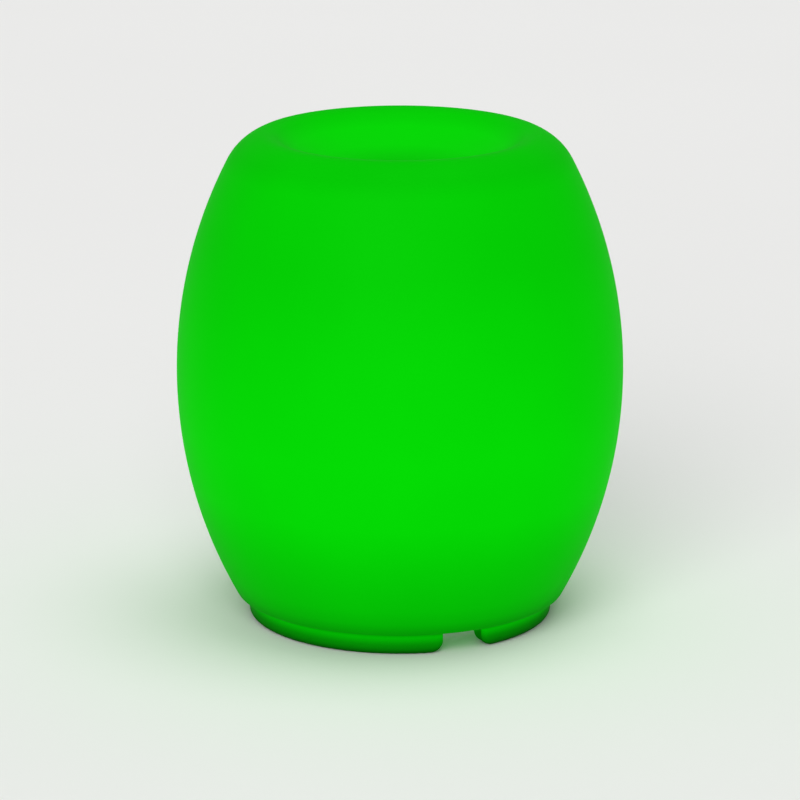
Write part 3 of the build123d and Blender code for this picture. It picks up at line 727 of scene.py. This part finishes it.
def shell_mesh(s):
    """The hollow shell: its outer skin, its inner skin and the edge of the base opening."""
    mesh = bmesh.new()
    pen = outer_outline(mesh, s)
    barrel_outline(pen, s, 0.0, s.edge_radius, OUTER_STEPS)
    recess_z = s.base_height + s.recess_depth
    floor_z = s.base_height + s.wall
    channel_in = s.foot_radius - s.foot_width + s.wall
    channel_out = s.foot_radius - s.wall
    inner = Outline(mesh, s.opening_radius, recess_z + s.wall)
    inner.line(s.recess_radius + s.wall, recess_z + s.wall, 1)
    inner.line(s.recess_radius + s.wall, floor_z, 1)
    inner.line(channel_in, floor_z, 1)
    inner.line(channel_in, s.wall + s.channel_round, 2)
    inner.arc((channel_in + s.channel_round, s.wall + s.channel_round), 90.0, 2)
    inner.line(channel_out - s.channel_round, s.wall, 2)
    inner.arc((channel_out - s.channel_round, s.wall + s.channel_round), 90.0, 2)
    inner.line(channel_out, floor_z, 2)
    barrel_outline(inner, s, s.wall, s.inner_edge, INNER_STEPS)
    mesh.edges.new((pen.first, inner.first))
    spin_round(mesh, s.stations)
    bmesh.ops.rotate(
        mesh, verts=mesh.verts[:], cent=(0.0, 0.0, 0.0), matrix=Matrix.Rotation(-math.pi / 2, 3, "Z")
    )
    end_gap(mesh, s, 0.0)
    end_gap(mesh, s, s.wall)
    bmesh.ops.recalc_face_normals(mesh, faces=mesh.faces[:])
    return mesh


# The button's spring

# Steps round one turn of the coil and round its wire
COIL_STEPS = 28
WIRE_STEPS = 12


def spring_mesh(s, low, high):
    """A coil that fills the box from low to high, with its two ends closed."""
    mesh = bmesh.new()
    middle = (low + high) / 2
    start = Vector((high.x - s.wire, middle.y, low.z + s.wire))
    ring = bmesh.ops.create_circle(mesh, radius=s.wire, segments=WIRE_STEPS)["verts"]
    bmesh.ops.rotate(mesh, verts=ring, cent=(0.0, 0.0, 0.0), matrix=Matrix.Rotation(math.pi / 2, 3, "X"))
    bmesh.ops.translate(mesh, verts=ring, vec=start)
    steps = s.turns * COIL_STEPS
    bmesh.ops.spin(
        mesh,
        geom=mesh.verts[:] + mesh.edges[:],
        cent=middle,
        axis=(0.0, 0.0, 1.0),
        dvec=(0.0, 0.0, (high.z - low.z - 2 * s.wire) / steps),
        angle=math.tau * s.turns,
        steps=steps,
        use_merge=False,
    )
    bmesh.ops.holes_fill(mesh, edges=[edge for edge in mesh.edges if edge.is_boundary], sides=0)
    bmesh.ops.recalc_face_normals(mesh, faces=mesh.faces[:])
    return mesh


# Operators

# The floor's reach to each side and the gap that keeps it from touching the ring, in metres
FLOOR_REACH = 14.0
FLOOR_DROP = 0.0002
FLOOR_SEEN_BY = ("Is Camera Ray", "Is Glossy Ray", "Is Transmission Ray")

# How wide a lamp looks from the stool, and where the lamps stand; only their direction counts
LAMP_SPREAD = math.radians(40.0)
FRONT_SPOT = Vector((-2.2, -3.0, 2.4))
TOP_SPOT = Vector((0.4, -0.3, 3.2))

# Width of the camera's sensor in millimetres, and how far it sees in metres
SENSOR_WIDTH = 36.0
CAMERA_REACH = 100.0


class STOOL_OT_shell(bpy.types.Operator):
    """Make the hollow glowing shell with its dished seat, recessed base and foot ring"""

    bl_idname = "stool.shell"
    bl_label = "Shell"

    def execute(self, context):
        sizes = context.scene.stool_shell
        piece = finish_piece(shell_mesh(sizes), "moulded_shell")
        piece.data.materials.append(glowing_plastic(context.scene.stool_glow, sizes.height))
        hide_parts("shell")
        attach(piece, "stool")
        return {"FINISHED"}


class STOOL_OT_housing(bpy.types.Operator):
    """Finish the light unit's housing, its gaskets, its screws and their inserts"""

    bl_idname = "stool.housing"
    bl_label = "Light unit housing"

    def execute(self, context):
        dress(moulded_plastic("housing plastic", (0.72, 0.73, 0.72), 0.52), "light_housing")
        seal = soft_rubber("black seal", (0.02, 0.02, 0.022))
        dress(seal, "base_gasket", "diffuser_gasket", "button_seal", "socket_seal")
        steel = worked_metal("screw steel", (0.62, 0.62, 0.60), 0.3, along=(1.0, 1.0, 3.0), scale=900.0)
        dress(steel, "base_screws", "diffuser_screws", "led_board_screws")
        dress(steel, "bracket_screws", "control_board_screws")
        dress(worked_metal("insert brass", (0.78, 0.56, 0.22), 0.34, along=(3.0, 3.0, 1.0)), "base_inserts")
        return {"FINISHED"}


class STOOL_OT_lamp(bpy.types.Operator):
    """Finish the plate, the light board, its packages, the receiver and the diffuser"""

    bl_idname = "stool.lamp"
    bl_label = "Lamp"

    def execute(self, context):
        window_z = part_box("led_packages")[1].z - WINDOW_DEPTH
        dress(worked_metal("plate aluminium", (0.80, 0.81, 0.82), 0.36, along=(1.0, 16.0, 1.0)), "led_plate")
        dress(printed_board("light board", (0.82, 0.83, 0.80), (0.74, 0.72, 0.66), 120.0), "led_board")
        package = light_package("light package", (0.88, 0.87, 0.84), (0.86, 0.62, 0.06), window_z)
        dress(package, "led_packages")
        receiver = moulded_plastic("receiver plastic", (0.03, 0.012, 0.016), 0.16, depth=0.00001)
        dress(receiver, "remote_receiver")
        dress(milky_diffuser("opal diffuser", (0.88, 0.90, 0.87)), "diffuser_dome")
        return {"FINISHED"}


class STOOL_OT_battery(bpy.types.Operator):
    """Finish the battery pack: cells, sleeve, foam pad and bracket"""

    bl_idname = "stool.battery"
    bl_label = "Battery pack"

    def execute(self, context):
        dress(cell_can("cell nickel"), "battery_cells")
        dress(shrink_sleeve("shrink sleeve", (0.03, 0.16, 0.42)), "battery_sleeve")
        dress(foam("foam pad", (0.10, 0.10, 0.11)), "battery_pad")
        steel = worked_metal("bracket steel", (0.66, 0.66, 0.64), 0.38, along=(14.0, 1.0, 1.0))
        dress(steel, "battery_bracket")
        return {"FINISHED"}


class STOOL_OT_electronics(bpy.types.Operator):
    """Finish the control board and what is soldered on it"""

    bl_idname = "stool.electronics"
    bl_label = "Control board"

    def execute(self, context):
        dress(printed_board("circuit board", (0.012, 0.16, 0.055), (0.80, 0.70, 0.40)), "control_board")
        dress(moulded_plastic("chip plastic", (0.022, 0.022, 0.024), 0.5, 3200.0), "control_chips")
        can = worked_metal("capacitor can", (0.60, 0.62, 0.66), 0.3, along=(1.0, 1.0, 0.1))
        dress(can, "control_capacitors")
        dress(moulded_plastic("header nylon", (0.80, 0.78, 0.70), 0.45, 2600.0), "control_connectors")
        return {"FINISHED"}


class STOOL_OT_button(bpy.types.Operator):
    """Finish the push button and its parts"""

    bl_idname = "stool.button"
    bl_label = "Push button"

    def execute(self, context):
        dress(moulded_plastic("switch plastic", (0.035, 0.036, 0.038), 0.42), "button_body", "socket_body")
        dress(moulded_plastic("button cap plastic", (0.62, 0.05, 0.035), 0.34, depth=0.00003), "button_cap")
        steel = worked_metal("spring steel", (0.58, 0.58, 0.57), 0.24)
        dress(steel, "cover_hinge_pin")
        self.add_spring(context.scene.stool_spring, steel)
        dress(moulded_plastic("nut nylon", (0.05, 0.05, 0.052), 0.55), "button_nut", "socket_nut")
        return {"FINISHED"}

    def add_spring(self, sizes, steel):
        """The coil, made to fill the CAD spring's box, in place of that node."""
        low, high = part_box("button_spring")
        spring = finish_piece(spring_mesh(sizes, low, high), "return_spring")
        spring.data.materials.append(steel)
        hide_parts("button_spring")
        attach(spring, "stool")
        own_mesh(spring)


class STOOL_OT_socket(bpy.types.Operator):
    """Finish the charging socket's pin and cover and the blades behind it and the button"""

    bl_idname = "stool.socket"
    bl_label = "Charging socket"

    def execute(self, context):
        dress(soft_rubber("cover rubber", (0.035, 0.036, 0.038), 0.66), "socket_cover")
        brass = worked_metal("contact brass", (0.80, 0.62, 0.28), 0.26, along=(1.0, 1.0, 6.0))
        dress(brass, "socket_pin", "button_terminals", "socket_terminals")
        return {"FINISHED"}


class STOOL_OT_leads(bpy.types.Operator):
    """Finish the leads inside the light unit"""

    bl_idname = "stool.leads"
    bl_label = "Leads"

    def execute(self, context):
        dress(lead_cover("grey lead", (0.28, 0.29, 0.30)), "button_leads", "socket_leads")
        dress(lead_cover("black lead", (0.02, 0.02, 0.02)), "battery_lead_black")
        dress(lead_cover("red lead", (0.55, 0.02, 0.015)), "battery_lead_red")
        dress(lead_cover("white lead", (0.76, 0.76, 0.73)), "led_leads")
        return {"FINISHED"}


class STOOL_OT_studio(bpy.types.Operator):
    """Set up the plain floor, the soft light and the camera"""

    bl_idname = "stool.studio"
    bl_label = "Studio"

    def execute(self, context):
        look = context.scene.stool_studio
        self.add_floor(look)
        self.add_light(look)
        self.add_camera(context.scene, look)
        return {"FINISHED"}

    def add_floor(self, look):
        """A wide pale floor, seen from above only, so that the stool's underside is lit and in view."""
        mesh = bmesh.new()
        bmesh.ops.create_grid(mesh, x_segments=2, y_segments=2, size=FLOOR_REACH)
        bmesh.ops.translate(mesh, verts=mesh.verts[:], vec=(0.0, 0.0, -FLOOR_DROP))
        floor = finish_piece(mesh, "floor")
        finish = Finish("studio floor", Roughness=0.85, Specular_IOR_Level=0.2)
        tone = finish.noise(1.2, 2.0, 0.5)
        dull, clean = shade(look.floor_colour, 0.985), shade(look.floor_colour, 1.015)
        finish.surface(Base_Color=finish.mix(tone, dull, clean))
        seen = sum(finish.node("ShaderNodeLightPath", output=kind) for kind in FLOOR_SEEN_BY)
        from_above = 1.0 - finish.node("ShaderNodeNewGeometry", output="Backfacing")
        clear = finish.node("ShaderNodeBsdfTransparent")
        mask = seen.held() * from_above
        finish.show(finish.node("ShaderNodeMixShader", sockets={0: mask, 1: clear, 2: finish.shader}))
        floor.data.materials.append(finish.material)

    def add_light(self, look):
        """Even light from all round, with a wide soft lamp in front and one above."""
        world = bpy.data.worlds.new("studio surround")
        world.use_nodes = True
        background = world.node_tree.nodes["Background"]
        background.inputs["Color"].default_value = (*look.sky_colour, 1.0)
        background.inputs["Strength"].default_value = look.sky_strength
        bpy.context.scene.world = world
        lamps = (
            ("front lamp", look.front_strength, FRONT_SPOT),
            ("top lamp", look.top_strength, TOP_SPOT),
        )
        for name, strength, spot in lamps:
            data = bpy.data.lights.new(name, "SUN")
            data.energy = strength
            data.angle = LAMP_SPREAD
            lamp = bpy.data.objects.new(name, data)
            lamp.location = spot
            lamp.rotation_euler = spot.to_track_quat("Z", "Y").to_euler()
            bpy.context.scene.collection.objects.link(lamp)

    def add_camera(self, scene, look):
        """A long lens at the photograph's height and angle."""
        data = bpy.data.cameras.new("camera")
        data.lens = look.lens
        data.sensor_width = SENSOR_WIDTH
        data.sensor_fit = "HORIZONTAL"
        data.clip_end = CAMERA_REACH
        camera = bpy.data.objects.new("camera", data)
        side, ahead = math.sin(look.azimuth), math.cos(look.azimuth)
        camera.location = (look.distance * side, -look.distance * ahead, look.eye_height)
        camera.rotation_euler = (math.pi / 2 - look.tilt, 0.0, look.azimuth)
        scene.collection.objects.link(camera)
        scene.camera = camera
        scene.view_settings.view_transform = "Standard"


OPERATORS = (
    STOOL_OT_studio,
    STOOL_OT_shell,
    STOOL_OT_housing,
    STOOL_OT_lamp,
    STOOL_OT_battery,
    STOOL_OT_electronics,
    STOOL_OT_button,
    STOOL_OT_socket,
    STOOL_OT_leads,
)


class STOOL_PT_sidebar(bpy.types.Panel):
    """Lists the stool's sizes, its colours and the operators that make it"""

    bl_idname = "STOOL_PT_sidebar"
    bl_label = "Glowing barrel stool"
    bl_space_type = "VIEW_3D"
    bl_region_type = "UI"
    bl_category = "Stool"

    def draw(self, context):
        """Lists the groups' settings, then the operators."""
        scene = context.scene
        for group in (scene.stool_shell, scene.stool_spring, scene.stool_glow, scene.stool_studio):
            box = self.layout.box()
            for key in group.__annotations__:
                box.prop(group, key)
        for operator in OPERATORS:
            self.layout.operator(operator.bl_idname)


CLASSES = (ShellSizes, SpringSizes, GlowLook, StudioLook, *OPERATORS, STOOL_PT_sidebar)


def register():
    """Adds the classes and the scene's groups of settings."""
    for cls in CLASSES:
        bpy.utils.register_class(cls)
    bpy.types.Scene.stool_shell = PointerProperty(type=ShellSizes)
    bpy.types.Scene.stool_spring = PointerProperty(type=SpringSizes)
    bpy.types.Scene.stool_glow = PointerProperty(type=GlowLook)
    bpy.types.Scene.stool_studio = PointerProperty(type=StudioLook)


def unregister():
    """Takes the groups of settings and the classes out again."""
    del bpy.types.Scene.stool_studio
    del bpy.types.Scene.stool_glow
    del bpy.types.Scene.stool_spring
    del bpy.types.Scene.stool_shell
    for cls in reversed(CLASSES):
        bpy.utils.unregister_class(cls)


def main():
    """Makes the whole stool and its studio."""
    register()
    for operator in OPERATORS:
        family, name = operator.bl_idname.split(".")
        getattr(getattr(bpy.ops, family), name)()


if __name__ == "__main__":
    main()
